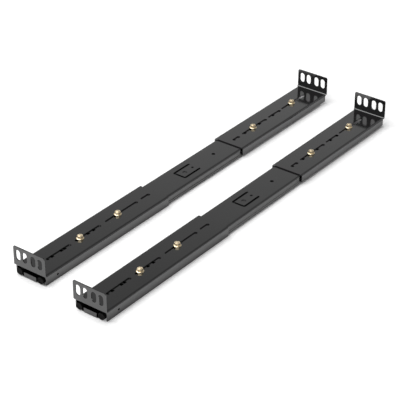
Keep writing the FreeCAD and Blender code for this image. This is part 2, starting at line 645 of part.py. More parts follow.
def ball_cage(name, rail, section, top, ball_x, ball_z):
    """Ball cage: a folded strip with a pocket for each ball and windows that save weight."""
    body = new_body(name, rail)
    profile = new_sketch(body, name + "_section", "XZ_Plane", "-sizes.cage_start")
    profile.addGeometry(section.cage(top, ball_x, ball_z), False)
    pad(body, profile, "sizes.cage_length", reverse=True)

    half = "(sizes.ball / 2 + sizes.cage_fit)"
    pockets = new_sketch(body, name + "_ball_pockets", "YZ_Plane")
    for step in range(BALLS_PER_SIDE):
        along = f"{FIRST_BALL} + {step} * sizes.ball_pitch"
        low = f"{ball_z} - sizes.cage_skirt"
        add_rectangle(pockets, f"{along} - {half}", f"{along} + {half}",
                      f"{low} - sizes.cage_sheet", f"{ball_z} + {half}")
    pocket(body, pockets, "2 * sizes.slide_width", midplane=True)

    windows = new_sketch(body, name + "_windows", "XY_Plane", str(top))
    wide = "sizes.cage_window_width / 2"
    long = "sizes.cage_window_length / 2"
    for step in range(BALLS_PER_SIDE - 1):
        along = f"{FIRST_BALL} + ({step} + 0.5) * sizes.ball_pitch"
        add_rectangle(windows, f"-{wide}", wide, f"{along} - {long}", f"{along} + {long}")
    pocket(body, windows, "4 * sizes.cage_gap + 2 * sizes.cage_sheet", midplane=True)
    return body


def faceted_ball(radius):
    """A ball with thirty-two flat faces, its corners on the true sphere."""
    axes = [Vector(1, 0, 0), Vector(0, 1, 0), Vector(0, 0, 1)]
    faces = []
    for signs in [(x, y, z) for x in (1, -1) for y in (1, -1) for z in (1, -1)]:
        corner = [axis * (radius * sign) for axis, sign in zip(axes, signs)]
        middle = [(corner[i] + corner[(i + 1) % 3]).normalize() * radius for i in range(3)]
        triangles = [(corner[0], middle[0], middle[2]), (corner[1], middle[1], middle[0]),
                     (corner[2], middle[2], middle[1]), tuple(middle)]
        faces += [Part.Face(Part.makePolygon([a, b, c, a])) for a, b, c in triangles]
    return Part.makeSolid(Part.makeShell(faces))


def ball_set(name, rail, ball_x, ball_z):
    """The balls of one cage, both sides."""
    ball = faceted_ball(named("ball") / 2)
    balls = []
    for step in range(BALLS_PER_SIDE):
        along = val(FIRST_BALL) + step * named("ball_pitch")
        balls += [ball.translated(Vector(side * ball_x, along, ball_z)) for side in (-1, 1)]
    group = doc.addObject("Part::Feature", name)
    group.Label = name
    group.Shape = Part.makeCompound(balls)
    place(group, rail)
    return group


# Bumpers, fasteners and lock

def front_bumpers(name, rail, section):
    """Two round-cornered bumpers pressed on the corners of the inner member's front end."""
    body = new_body(name, rail)
    nose = new_sketch(body, name + "_nose", "XZ_Plane", "-sizes.tab_front")
    outside, inside = named("slide_width") / 2, named("bumper_inside")
    low, high = named("bumper_low"), named("slide_depth") - named("bumper_drop")
    radius = min(named("bumper_round"), ROUNDEST * (high - low), ROUNDEST * (outside - inside))
    for side in (-1, 1):
        left, right = sorted((side * inside, side * outside))
        nose.addGeometry(rounded_outline(left, right, low, high, radius), False)
    pad(body, nose, "sizes.bumper_depth", reverse=True)

    slot = new_sketch(body, name + "_slot", "XZ_Plane", "-(sizes.inner_front - sizes.bumper_seat)")
    slot.addGeometry(section.inner(named("bumper_fit")), False)
    pocket(body, slot, "sizes.bumper_depth")
    return body


def rounded_outline(left, right, low, high, radius):
    """Rectangle with four round corners, each run in flats."""
    centres = [(right - radius, low + radius), (right - radius, high - radius),
               (left + radius, high - radius), (left + radius, low + radius)]
    outline = []
    for (cx, cy), start in zip(centres, (-90, 0, 90, 180)):
        for step in range(CORNER_FLATS + 1):
            angle = math.radians(start + 90 * step / CORNER_FLATS)
            outline.append(Vector(cx + radius * math.cos(angle), cy + radius * math.sin(angle), 0))
    return closed_run(outline)


def rear_bumper(name, rail, section):
    """Block that stops the members at the back, snapped into the outer member's races."""
    body = new_body(name, rail)
    start = f"({MEMBER_END} + sizes.rear_bumper_gap)"
    block = new_sketch(body, name + "_block", "XZ_Plane", f"-{start}")
    block.addGeometry(section.rear_stop(), False)
    pad(body, block, "sizes.rear_bumper_depth", reverse=True)
    return body


def prism(name, sides, radius, height, y, z):
    """An upright prism whose sizes are expressions, radius reaching to its corners."""
    part = doc.addObject("Part::Prism", name)
    part.Polygon = sides
    part.setExpression("Circumradius", radius)
    part.setExpression("Height", height)
    part.setExpression("Placement.Base.y", y)
    part.setExpression("Placement.Base.z", z)
    return part


def group(name, rail, solids):
    """Separate solids of one kind, kept together under one name."""
    compound = doc.addObject("Part::Compound", name)
    compound.Label = name
    compound.Links = solids
    place(compound, rail)
    return compound


def clamp_studs(name, rail):
    """Clamping studs, welded end-on to the outer member's back."""
    reach = "sizes.web_gap + sizes.sheet + sizes.nut_gap + sizes.nut_height + sizes.stud_end"
    made = [prism(name + "_stud", STUD_SIDES, "sizes.stud / 2", reach, along, BACK) for along in STUDS]
    return group(name, rail, made)


def flange_nuts(name, rail):
    """Flange nuts that clamp the brackets: flange, hexagon and bore."""
    seat = f"{WEB_TOP} + sizes.nut_gap"
    corners = "sizes.nut_across_flats / 2 / cos(30)"
    bore_corners = f"(sizes.stud / 2 + sizes.press_gap) / cos(180 / {BORE_SIDES})"
    made = []
    for along in STUDS:
        flange = prism(name + "_flange", FLANGE_SIDES, "sizes.nut_flange / 2", "sizes.nut_flange_height",
                       along, seat)
        hexagon = prism(name + "_hexagon", 6, corners, "sizes.nut_height", along, seat)
        bore = prism(name + "_bore", BORE_SIDES, bore_corners, "sizes.nut_height", along, seat)
        solid = doc.addObject("Part::Fuse", name + "_solid")
        solid.Base, solid.Tool = flange, hexagon
        nut = doc.addObject("Part::Cut", name + "_nut")
        nut.Base, nut.Tool = solid, bore
        made.append(nut)
    return group(name, rail, made)


def rocker(name, rail):
    """Lock rocker: boss on the pin, arm, and a nose that rises into the middle member's window."""
    body = new_body(name, rail)
    back, height = val(PIVOT), named("pivot_height")
    boss = named("rocker_boss")
    low = height + named("rocker_drop")
    high = low + named("rocker_thickness")
    front = val(NOSE_FRONT)
    rear = front + named("nose_length")
    ramp = named("nose_ramp")
    top = val(MIDDLE_TOP) - named("inner_wall") - named("cage_gap")
    reach = math.sqrt(boss ** 2 - (low - height) ** 2)
    crown = Vector(back, height + boss, 0)
    around = Vector(back + boss * math.sin(math.radians(135)), height - boss * math.sin(math.radians(45)), 0)
    points = [Vector(back - reach, low, 0), Vector(front, low, 0), Vector(front, top - ramp, 0),
              Vector(front + ramp, top, 0), Vector(rear, top, 0), Vector(rear + ramp, high, 0), crown]
    lines = [Part.LineSegment(first, last) for first, last in zip(points, points[1:])]
    outline = new_sketch(body, name + "_outline", "YZ_Plane")
    outline.addGeometry(lines + [Part.Arc(points[0], around, crown)], False)
    pad(body, outline, "sizes.rocker_width", midplane=True)
    bore = new_sketch(body, name + "_bore", "YZ_Plane")
    add_circle(bore, PIVOT, "sizes.pivot_height", "sizes.pivot_pin + 2 * sizes.pivot_gap")
    pocket(body, bore, "2 * sizes.rocker_width", midplane=True)
    return body


def rocker_pin(name, rail):
    """Plain pin pressed through the two ears, with the rocker between them."""
    body = new_body(name, rail)
    end = new_sketch(body, name + "_end", "YZ_Plane")
    add_circle(end, PIVOT, "sizes.pivot_height", "sizes.pivot_pin")
    pad(body, end, f"2 * {LUG_OUTSIDE}", midplane=True)
    return body


def rocker_spring(name, rail):
    """Leaf spring: a flat foot on the inner member's web, and a blade up to the rocker's nose."""
    body = new_body(name, rail)
    sheet_half = named("spring_sheet") / 2
    foot = named("inner_wall") + named("spring_gap") + sheet_half
    tip = named("pivot_height") + named("rocker_drop") - named("spring_gap") - sheet_half
    touch = val(NOSE_FRONT) + named("nose_length") / 2
    heel = touch + named("spring_rise")
    toe = (touch - named("spring_toe"), tip - named("spring_toe") / 2)
    path = [(heel + named("spring_foot"), foot), (heel, foot), (touch, tip), toe]
    bends = [2 * named("spring_bend"), named("spring_bend")]
    blade = new_sketch(body, name + "_blade", "YZ_Plane")
    blade.addGeometry(bent_strip(path, bends, named("spring_sheet")), False)
    pad(body, blade, "sizes.spring_width", midplane=True)
    return body


def rail_pieces(rail, section):
    """Every piece of one rail."""
    def title(piece):
        return f"{rail}_{piece}"

    outer_x, outer_z = section.outer_ball_x, section.outer_ball_z
    inner_x, inner_z = section.inner_ball_x, section.inner_ball_z
    outer_top = val(OUTER_INSIDE)
    inner_top = val(MIDDLE_TOP) - named("inner_wall")
    return [
        bracket(title("front_bracket"), rail, "sizes.front_length", FRONT_SLOTS),
        bracket(title("rear_bracket"), rail, "sizes.rear_length", REAR_SLOTS, rear=True),
        outer_member(title("outer_member"), rail, section),
        middle_member(title("middle_member"), rail, section),
        inner_member(title("inner_member"), rail, section),
        ball_cage(title("outer_ball_cage"), rail, section, outer_top, outer_x, outer_z),
        ball_set(title("outer_balls"), rail, outer_x, outer_z),
        ball_cage(title("inner_ball_cage"), rail, section, inner_top, inner_x, inner_z),
        ball_set(title("inner_balls"), rail, inner_x, inner_z),
        front_bumpers(title("front_bumpers"), rail, section),
        rear_bumper(title("rear_bumper"), rail, section),
        clamp_studs(title("clamp_studs"), rail),
        flange_nuts(title("flange_nuts"), rail),
        rocker(title("lock_rocker"), rail),
        rocker_pin(title("rocker_pin"), rail),
        rocker_spring(title("rocker_spring"), rail),
    ]


def main():
    fill_sheet()
    section = Section()
    pieces = rail_pieces("left", section) + rail_pieces("right", section)
    doc.recompute()
    for thing in doc.Objects:
        if "Invalid" in thing.State or "Error" in thing.State:
            raise RuntimeError(f"{thing.Name} did not build: {thing.State}")
    for piece in pieces:
        if piece.Shape.isNull() or not piece.Shape.isValid() or not piece.Shape.Solids:
            raise RuntimeError(f"{piece.Label} has no valid shape")
    os.makedirs("parts", exist_ok=True)
    for piece in pieces:
        piece.Shape.exportStep(f"parts/{piece.Label}.step")
        box = piece.Shape.BoundBox
        print(f"{piece.Label}: {len(piece.Shape.Solids)} solids, "
              f"{box.XLength:.1f} x {box.YLength:.1f} x {box.ZLength:.1f} mm")


main()
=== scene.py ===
"""The pair of sliding server rails as photographed: finishes, finer pieces, camera, light and floor."""
import math

import bmesh
import bpy
from mathutils import Matrix, Vector


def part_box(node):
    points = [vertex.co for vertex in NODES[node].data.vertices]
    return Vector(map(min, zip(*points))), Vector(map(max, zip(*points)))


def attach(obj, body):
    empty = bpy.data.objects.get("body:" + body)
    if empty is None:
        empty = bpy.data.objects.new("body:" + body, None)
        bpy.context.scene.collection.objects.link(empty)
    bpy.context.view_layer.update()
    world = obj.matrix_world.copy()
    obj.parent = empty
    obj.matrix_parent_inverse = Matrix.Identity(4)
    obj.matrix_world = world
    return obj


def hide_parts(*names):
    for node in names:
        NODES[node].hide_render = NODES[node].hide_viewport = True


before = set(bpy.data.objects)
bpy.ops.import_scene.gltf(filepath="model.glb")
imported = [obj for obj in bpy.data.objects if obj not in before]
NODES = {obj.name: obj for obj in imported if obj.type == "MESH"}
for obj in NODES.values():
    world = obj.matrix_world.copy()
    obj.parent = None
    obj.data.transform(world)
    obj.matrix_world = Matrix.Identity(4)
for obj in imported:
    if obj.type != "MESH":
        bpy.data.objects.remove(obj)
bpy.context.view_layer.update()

# Lengths are in metres. Places along a rail are measured back from its front ear.
RAIL_OFF = 0.062
RAILS = {"left": (-RAIL_OFF, -0.34865), "right": (RAIL_OFF, -0.36255)}

# Studs and nuts. A profile is made of steps of radius and height.
STUD_PLACES = (0.1074, 0.1920, 0.5364, 0.6475)
STUD_SEAT = 0.014
STUD_CREST = 0.0025
STUD_ROOT = 0.00212
STUD_END = [(0.0024, 0.0074), (0.00205, 0.00755)]
THREAD_PITCH = 0.0008
THREAD_TURNS = 8
NUT_SEAT = 0.01575
NUT_CORNER = 0.0046188
NUT_MIDDLE = 0.00285
NUT_DEPTH = 0.0041
NUT_FLANGE = [(0.00572, 0.0), (0.0059, 0.00015), (0.0059, 0.00062), (0.0057, 0.00088),
              (0.005, 0.00118), (0.00462, 0.00138)]
NUT_CHAMFER = [(0.0055, 0.0006), (0.0055, 0.00425), (0.00395, 0.00512)]
NUT_BORE = [(0.00252, -0.0002), (0.00252, 0.0045), (0.003, 0.005)]

# Front bumpers. Each step of the dish is an inset and how far it is pushed back.
BUMPER_PLACE = (0.0199, 0.0034, 0.0065)
BUMPER_SIZE = (0.0110, 0.0062, 0.0108)
BUMPER_ROUND = 0.0051
BUMPER_DISH = [(0.0007, -0.0003), (0.0013, 0.0009), (0.0004, 0.0)]

BALL_PITCH = 0.050
BALL_ROWS = 4

# The outer member's web. A round cut has its place, its radius and the height where it starts.
TONGUE_FRONT = 0.3410
TONGUE_BACK = 0.3795
TONGUE_HALF = 0.0109
TONGUE_CUT = 0.0038
TONGUE_HOLE = (0.3738, 0.0021, 0.0120)
TONGUE_SEAT = (0.3540, 0.0036, 0.0130)
ACCESS_HOLES = (0.0375, 0.0483, 0.0680, 0.0746, 0.1260, 0.1382,
                0.4282, 0.4852, 0.5155, 0.5558, 0.5944, 0.6140)
ACCESS_RADIUS = 0.0030
WEB_BELOW = 0.0120
WEB_INSIDE = 0.0135
WEB_ABOVE = 0.0150

REAR_SIDE_LIFT = 0.0030

# Edges that turn more than this are bevelled, or stay sharp in the shading.
BEVEL_ANGLE = math.radians(32)
SMOOTH_ANGLE = math.radians(40)
SHEET_ANGLE = math.radians(30)
THREAD_ANGLE = math.radians(20)

COAT_IOR = 2.05
COAT_ROUGH = 0.06
# A low index for the section inside the slide, so that it mirrors little: partly painted shade seen through
# the holes.
SOFT_COAT_IOR = 1.24
RUBBER_IOR = 1.22
ROLLED_STRETCH = (1.0, 0.02, 1.0)

# Zones of the floor, as distances from their middle: where each is full, and where it has faded out.
# The painted reflection, a dark patch that only glossy rays see, lies to the right of each rail, beyond its
# start.
PAINTED_REFLECTION_OFF = 0.072
PAINTED_REFLECTION_START = (0.27, 0.29)
PAINTED_REFLECTION_HALF = (0.022, 0.026)
RAIL_HALF = (0.0282, 0.0286)
PAIR_HALF = (0.100, 0.101)
PAIR_REACH = (0.347, 0.349)
FLOOR_GLOW = 0.16
FLOOR_SIZE = 8.0
FLOOR_DROP = 0.0002

# The studio: the sky's height and level, then each lamp's place, width and power.
SKY = [(0.0, 0.35), (0.30, 0.58), (0.42, 0.60), (0.56, 0.28), (0.75, 0.15), (1.0, 0.15)]
LAMPS = {"key": ((-1.2, -0.3, 2.7), 2.6, 84.0), "fill": ((0.45, -2.85, 1.95), 2.1, 29.0)}

# The photograph's camera, fitted to both rails.
VIEW_AZIMUTH = math.radians(37.512)
VIEW_ELEVATION = math.radians(30.86)
VIEW_TARGET = (0.072062, 0.299295, 0.0157)
VIEW_DISTANCE = 2.31025
FOCAL_PIXELS = 1527.145
PHOTO_WIDTH = 400.0
SENSOR_WIDTH = 36.0


def at(rail, x, y, z):
    """A point given from a rail's centre line, its front ear and the floor."""
    centre, front = RAILS[rail]
    return Vector((centre + x, front + y, z))


# Shader writing

class Value:
    """One shader value, with Python's operators adding the Math nodes."""

    def __init__(self, finish, socket):
        self.finish = finish
        self.socket = socket

    def __add__(self, other):
        return self.finish.maths("ADD", self, other)

    def __radd__(self, other):
        return self.finish.maths("ADD", other, self)

    def __sub__(self, other):
        return self.finish.maths("SUBTRACT", self, other)

    def __rsub__(self, other):
        return self.finish.maths("SUBTRACT", other, self)

    def __mul__(self, other):
        return self.finish.maths("MULTIPLY", self, other)

    def __rmul__(self, other):
        return self.finish.maths("MULTIPLY", other, self)


class Finish:
    """The nodes of a material, or of the world, and the one method that adds to them."""

    def __init__(self, holder):
        self.holder = holder
        holder.use_nodes = True
        self.tree = holder.node_tree
        self.tree.nodes.clear()

    def node(self, kind, settings=None, links=None, output=0):
        """Add a node with its settings and its sockets' values or links, and give one of its outputs."""
        made = self.tree.nodes.new(kind)
        for key, setting in (settings or {}).items():
            if key == "stops":
                self.fill_ramp(made.color_ramp, setting)
            else:
                setattr(made, key, setting)
        pairs = links.items() if isinstance(links, dict) else enumerate(links or [])
        for key, link in pairs:
            socket = made.inputs[key]
            if isinstance(link, Value):
                self.tree.links.new(link.socket, socket)
            else:
                socket.default_value = link
        return Value(self, made.outputs[output])

    def fill_ramp(self, ramp, stops):
        while len(ramp.elements) > 1:
            ramp.elements.remove(ramp.elements[-1])
        ramp.elements[0].position, ramp.elements[0].color = stops[0]
        for position, tone in stops[1:]:
            ramp.elements.new(position).color = tone

    def maths(self, operation, *values):
        return self.node("ShaderNodeMath", {"operation": operation}, values)

    def part(self, axis):
        """One Object coordinate."""
        place = self.node("ShaderNodeTexCoord", output="Object")
        return self.node("ShaderNodeSeparateXYZ", None, [place], axis)

    def noise(self, scale, detail=2.0, stretch=(1.0, 1.0, 1.0)):
        """Noise on Object coordinates, stretched along the axes."""
        place = self.node("ShaderNodeTexCoord", output="Object")
        stretched = self.node("ShaderNodeMapping", None, {"Vector": place, "Scale": stretch})
        settings = {"Vector": stretched, "Scale": scale, "Detail": detail}
        return self.node("ShaderNodeTexNoise", None, settings, "Fac")

    def blend(self, factor, first, second):
        links = {0: factor, 6: first, 7: second}
        return self.node("ShaderNodeMix", {"data_type": "RGBA"}, links, 2)

    def bump(self, height, strength, distance):
        links = {"Height": height, "Strength": strength, "Distance": distance}
        return self.node("ShaderNodeBump", None, links)

    def close(self, kind, surface):
        """Join the last shader to the output node, and give the material or world."""
        result = self.tree.nodes.new(kind)
        self.tree.links.new(surface.socket, result.inputs["Surface"])
        return self.holder

    def shader(self, **sockets):
        """Close the material with one Principled shader."""
        names = {name.replace("_", " "): value for name, value in sockets.items()}
        surface = self.node("ShaderNodeBsdfPrincipled", None, names)
        return self.close("ShaderNodeOutputMaterial", surface)


def new_finish(name):
    """An empty material."""
    return Finish(bpy.data.materials.new(name))


def colour(red, green, blue):
    return (red, green, blue, 1.0)


def grey(level):
    return colour(level, level, level)


def black_coat():
    """Black e-coat on sheet steel: fine orange peel and faint clouds of gloss."""
    finish = new_finish("black_coat")
    cloud = finish.noise(scale=14.0, detail=3.0)
    streak = finish.noise(scale=90.0, detail=3.0, stretch=(1.0, 0.04, 1.0))
    peel = finish.noise(scale=850.0, detail=1.0)
    tone = finish.blend(cloud, colour(0.0020, 0.0020, 0.0021), colour(0.0034, 0.0034, 0.0035))
    rough = COAT_ROUGH + 0.05 * cloud + 0.04 * streak
    normal = finish.bump(peel, strength=0.05, distance=0.0002)
    return finish.shader(Base_Color=tone, Roughness=rough, Normal=normal, IOR=COAT_IOR)


def slide_coat():
    """The same coat on the rolled slide, a little more satin, with streaks along the rolling direction."""
    finish = new_finish("slide_coat")
    streak = finish.noise(scale=140.0, detail=3.0, stretch=ROLLED_STRETCH)
    cloud = finish.noise(scale=12.0)
    peel = finish.noise(scale=700.0, detail=1.0)
    tone = finish.blend(cloud, colour(0.0022, 0.0022, 0.0023), colour(0.0038, 0.0038, 0.0039))
    rough = COAT_ROUGH + 0.02 + 0.05 * cloud + 0.06 * streak
    normal = finish.bump(peel, strength=0.05, distance=0.0002)
    return finish.shader(Base_Color=tone, Roughness=rough, Normal=normal, IOR=COAT_IOR)


def inside_coat():
    """Black finish of the section that runs inside the slide, dim in its reflection: partly its own black,
    partly painted shade for what shows through the holes above it.
    """
    finish = new_finish("inside_coat")
    streak = finish.noise(scale=120.0, detail=3.0, stretch=ROLLED_STRETCH)
    peel = finish.noise(scale=700.0, detail=1.0)
    tone = finish.blend(streak, grey(0.0010), grey(0.0020))
    rough = 0.16 + 0.08 * streak
    normal = finish.bump(peel, strength=0.05, distance=0.0002)
    return finish.shader(Base_Color=tone, Roughness=rough, Normal=normal, IOR=SOFT_COAT_IOR)


def yellow_zinc():
    """Yellow zinc plate: pale gold in clouds, over a fine grain."""
    finish = new_finish("yellow_zinc")
    cloud = finish.noise(scale=420.0)
    grain = finish.noise(scale=1500.0)
    tone = finish.blend(cloud, colour(0.93, 0.75, 0.47), colour(1.0, 0.89, 0.68))
    rough = 0.30 + 0.12 * grain
    normal = finish.bump(grain, strength=0.1, distance=0.0001)
    return finish.shader(Base_Color=tone, Roughness=rough, Normal=normal, Metallic=1.0)


def drawn_steel(name, tone, low_rough):
    """Steel with a drawn grain: ground, plated, or nearly black as painted shade."""
    finish = new_finish(name)
    grain = finish.noise(scale=500.0, detail=3.0, stretch=(1.0, 0.08, 1.0))
    darker = [part * 0.86 for part in tone]
    shade = finish.blend(grain, colour(*darker), colour(*tone))
    rough = low_rough + 0.15 * grain
    normal = finish.bump(grain, strength=0.06, distance=0.0001)
    return finish.shader(Base_Color=shade, Roughness=rough, Normal=normal, Metallic=1.0)


def black_rubber():
    """Moulded bumper: soft black with a fine moulded grain."""
    finish = new_finish("black_rubber")
    grain = finish.noise(scale=1800.0)
    tone = finish.blend(grain, grey(0.0018), grey(0.0036))
    rough = 0.40 + 0.2 * grain
    normal = finish.bump(grain, strength=0.15, distance=0.0002)
    return finish.shader(Base_Color=tone, Roughness=rough, Normal=normal, IOR=RUBBER_IOR)


def floor_paper():
    """White paper with a painted reflection: glossy rays see it a little greyer, and dark beside the rear
    ears.

    The camera also sees a glow on it, except right under the rails, where a slot would let it through.
    """
    finish = new_finish("floor_paper")

    def within(value, zone):
        """One inside a zone and nothing outside it."""
        full, limit = zone
        return finish.node("ShaderNodeMapRange", None, [value, full, limit, 1.0, 0.0])

    def from_line(off):
        """Distance from the line that lies this far to the right of either rail's centre line."""
        return finish.maths("PINGPONG", finish.part("X") - (off - RAIL_OFF), RAIL_OFF)

    beyond = 1.0 - within(finish.part("Y"), PAINTED_REFLECTION_START)
    painted_dark_reflection = beyond * within(from_line(PAINTED_REFLECTION_OFF), PAINTED_REFLECTION_HALF)
    # Painted reflection: what the coat mirrors of the paper is greyer, and nearly black in the patch.
    mirrored = finish.blend(painted_dark_reflection, grey(0.86), grey(0.04))
    glossy = finish.node("ShaderNodeLightPath", output="Is Glossy Ray")
    tone = finish.blend(glossy, grey(0.95), mirrored)
    beside = finish.maths("ABSOLUTE", finish.part("X"))
    along = finish.maths("ABSOLUTE", finish.part("Y"))
    under = within(from_line(0.0), RAIL_HALF) * within(beside, PAIR_HALF) * within(along, PAIR_REACH)
    seen = finish.node("ShaderNodeLightPath", output="Is Camera Ray")
    glow = finish.blend(seen * (1.0 - under), grey(0.0), grey(FLOOR_GLOW))
    return finish.shader(Base_Color=tone, Roughness=0.8, Emission_Color=glow, Emission_Strength=1.0)


def dress_nodes():
    """Give every CAD node its finish, and keep the finishes for the pieces that stand for a node."""
    coat, slide, inside = black_coat(), slide_coat(), inside_coat()
    zinc, rubber = yellow_zinc(), black_rubber()
    # The cages are nearly black: painted shade, since they show only through cuts and holes where shade
    # falls.
    cage = drawn_steel("cage_strip", (0.030, 0.030, 0.031), 0.30)
    ball = drawn_steel("ball_steel", (0.80, 0.80, 0.81), 0.06)
    plated = drawn_steel("clear_zinc", (0.58, 0.58, 0.59), 0.28)
    finishes = {
        "front_bracket": coat, "rear_bracket": coat, "outer_member": slide, "middle_member": inside,
        "inner_member": slide, "outer_ball_cage": cage, "inner_ball_cage": cage, "outer_balls": ball,
        "inner_balls": ball, "front_bumpers": rubber, "rear_bumper": rubber, "clamp_studs": zinc,
        "flange_nuts": zinc, "lock_rocker": plated, "rocker_pin": plated, "rocker_spring": plated,
    }
    for rail in RAILS:
        for piece, material in finishes.items():
            for place in NODES[f"{rail}_{piece}"].material_slots:
                place.material = material
    return finishes


# Shaping

def only(thing):
    """Leave one object selected and active."""
    bpy.ops.object.select_all(action="DESELECT")
    thing.select_set(True)
    bpy.context.view_layer.objects.active = thing


def settle(thing):
    """Put a piece's place into its mesh, so that its object sits at the origin."""
    only(thing)
    bpy.ops.object.transform_apply(location=True, rotation=True, scale=True)
    return thing


def turned(place, profile, sides):
    """A round form raised from a disc through steps of radius and height above a place."""
    bpy.ops.object.select_all(action="DESELECT")
    radius, height = profile[0]
    start = place + Vector((0.0, 0.0, height))
    bpy.ops.mesh.primitive_circle_add(vertices=sides, radius=radius, fill_type="NGON", location=start)
    bpy.ops.object.mode_set(mode="EDIT")
    for (before, low), (after, high) in zip(profile, profile[1:]):
        bpy.ops.mesh.extrude_region_move(TRANSFORM_OT_translate={"value": (0, 0, high - low)})
        scale = after / before
        centre = place + Vector((0.0, 0.0, high))
        bpy.ops.transform.resize(value=(scale, scale, 1.0), center_override=centre)
    bpy.ops.mesh.select_all(action="SELECT")
    bpy.ops.mesh.normals_make_consistent(inside=False)
    bpy.ops.object.mode_set(mode="OBJECT")
    return settle(bpy.context.object)


def rounded_block(place, size, axis, radius, segments):
    """A block whose four edges along one axis are rounded."""
    bpy.ops.object.select_all(action="DESELECT")
    bpy.ops.mesh.primitive_cube_add(size=1.0, location=place, scale=size)
    block = settle(bpy.context.object)
    bpy.ops.object.mode_set(mode="EDIT")
    bpy.ops.mesh.select_all(action="DESELECT")
    shape = bmesh.from_edit_mesh(block.data)
    for line in shape.edges:
        run = line.verts[1].co - line.verts[0].co
        if abs(run[axis]) > 0.9 * size[axis]:
            line.select_set(True)
    bmesh.update_edit_mesh(block.data)
    bpy.ops.mesh.bevel(offset=radius, segments=segments, affect="EDGES")
    bpy.ops.object.mode_set(mode="OBJECT")
    return block


def work_with(thing, tool, operation):
    """Cut, join or keep what is common with a tool, which is then removed."""
    only(thing)
    work = thing.modifiers.new("work", "BOOLEAN")
    work.operation = operation
    work.solver = "EXACT"
    work.object = tool
    bpy.ops.object.modifier_apply(modifier=work.name)
    bpy.data.objects.remove(tool, do_unlink=True)


def soften(thing, width, segments):
    """Round a piece's sharp edges and shade it smooth between them."""
    only(thing)
    bevel = thing.modifiers.new("edges", "BEVEL")
    bevel.width = width
    bevel.segments = segments
    bevel.limit_method = "ANGLE"
    bevel.angle_limit = BEVEL_ANGLE
    bpy.ops.object.modifier_apply(modifier=bevel.name)
    bpy.ops.object.shade_smooth_by_angle(angle=SMOOTH_ANGLE)


def shade_sheet(thing):
    """Shade bent sheet smooth in its bends and flat on its faces."""
    only(thing)
    bpy.ops.object.shade_smooth_by_angle(angle=SHEET_ANGLE)
    normals = thing.modifiers.new("normals", "WEIGHTED_NORMAL")
    normals.keep_sharp = True
    bpy.ops.object.modifier_apply(modifier=normals.name)


def copied(thing, shift=(0.0, 0.0, 0.0)):
    """A copy with a mesh of its own, moved in the mesh."""
    twin = thing.copy()
    twin.data = thing.data.copy()
    twin.data.transform(Matrix.Translation(shift))
    bpy.context.scene.collection.objects.link(twin)
    return twin


def joined(things):
    """Several shapes as one piece."""
    only(things[0])
    for thing in things[1:]:
        thing.select_set(True)
    bpy.ops.object.join()
    return things[0]


def node_copy(name):
    """A CAD node's mesh as a new piece, its loose triangles merged."""
    twin = copied(NODES[name])
    twin.modifiers.clear()
    only(twin)
    bpy.ops.mesh.customdata_custom_splitnormals_clear()
    bpy.ops.object.mode_set(mode="EDIT")
    bpy.ops.mesh.select_all(action="SELECT")
    bpy.ops.mesh.remove_doubles(threshold=0.000001)
    bpy.ops.object.mode_set(mode="OBJECT")
    return twin


def finish_piece(piece, node, body, material):
    """Name a piece after the CAD node that it stands for, and give it its body and its finish."""
    piece.name = f"{node}_seen"
    piece.data.materials.clear()
    piece.data.materials.append(material)
    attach(piece, body)
    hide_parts(node)


# Pieces

def flange_nut(place):
    """Flange nut: sloping flange, hexagon with chamfered corners, countersunk bore."""
    nut = turned(place, NUT_FLANGE, sides=48)
    bpy.ops.object.select_all(action="DESELECT")
    bpy.ops.mesh.primitive_cylinder_add(vertices=6, radius=NUT_CORNER, depth=NUT_DEPTH,
                                        location=place + Vector((0.0, 0.0, NUT_MIDDLE)))
    hexagon = settle(bpy.context.object)
    work_with(hexagon, turned(place, NUT_CHAMFER, sides=48), "INTERSECT")
    work_with(nut, hexagon, "UNION")
    work_with(nut, turned(place, NUT_BORE, sides=32), "DIFFERENCE")
    soften(nut, width=0.00010, segments=2)
    return nut


def stud(place):
    """Welded stud with a rolled thread and a chamfered end."""
    profile = [(STUD_CREST, 0.0), (STUD_CREST, THREAD_PITCH)]
    for turn in range(1, THREAD_TURNS + 1):
        low = turn * THREAD_PITCH
        profile += [(STUD_ROOT, low + THREAD_PITCH / 2), (STUD_CREST, low + THREAD_PITCH)]
    thread = turned(place, profile + STUD_END, sides=32)
    bpy.ops.object.shade_smooth_by_angle(angle=THREAD_ANGLE)
    return thread


def clamps(rail, finishes):
    """The four nuts and the four studs of a rail."""
    first, *others = STUD_PLACES
    for shape, node, seat in ((flange_nut, "flange_nuts", NUT_SEAT), (stud, "clamp_studs", STUD_SEAT)):
        model = shape(at(rail, 0.0, first, seat))
        copies = [copied(model, (0.0, along - first, 0.0)) for along in others]
        whole = joined([model] + copies)
        finish_piece(whole, f"{rail}_{node}", "outer_rails", finishes[node])


def bumpers(rail, finishes):
    """Moulded front bumpers: rounded blocks with a dished face, cut to the inner member."""
    beside, along, height = BUMPER_PLACE
    made = []
    for side in (-1, 1):
        place = at(rail, side * beside, along, height)
        block = rounded_block(place, BUMPER_SIZE, axis=1, radius=BUMPER_ROUND, segments=12)
        bpy.ops.object.mode_set(mode="EDIT")
        bpy.ops.mesh.select_all(action="DESELECT")
        shape = bmesh.from_edit_mesh(block.data)
        for face in shape.faces:
            face.select_set(face.normal.y < -0.9)
        bmesh.update_edit_mesh(block.data)
        for thickness, push in BUMPER_DISH:
            bpy.ops.mesh.inset(thickness=thickness)
            bpy.ops.transform.translate(value=(0.0, push, 0.0))
        bpy.ops.object.mode_set(mode="OBJECT")
        work_with(block, node_copy(f"{rail}_inner_member"), "DIFFERENCE")
        soften(block, width=0.00035, segments=3)
        made.append(block)
    material = finishes["front_bumpers"]
    finish_piece(joined(made), f"{rail}_front_bumpers", f"{rail}_inner", material)


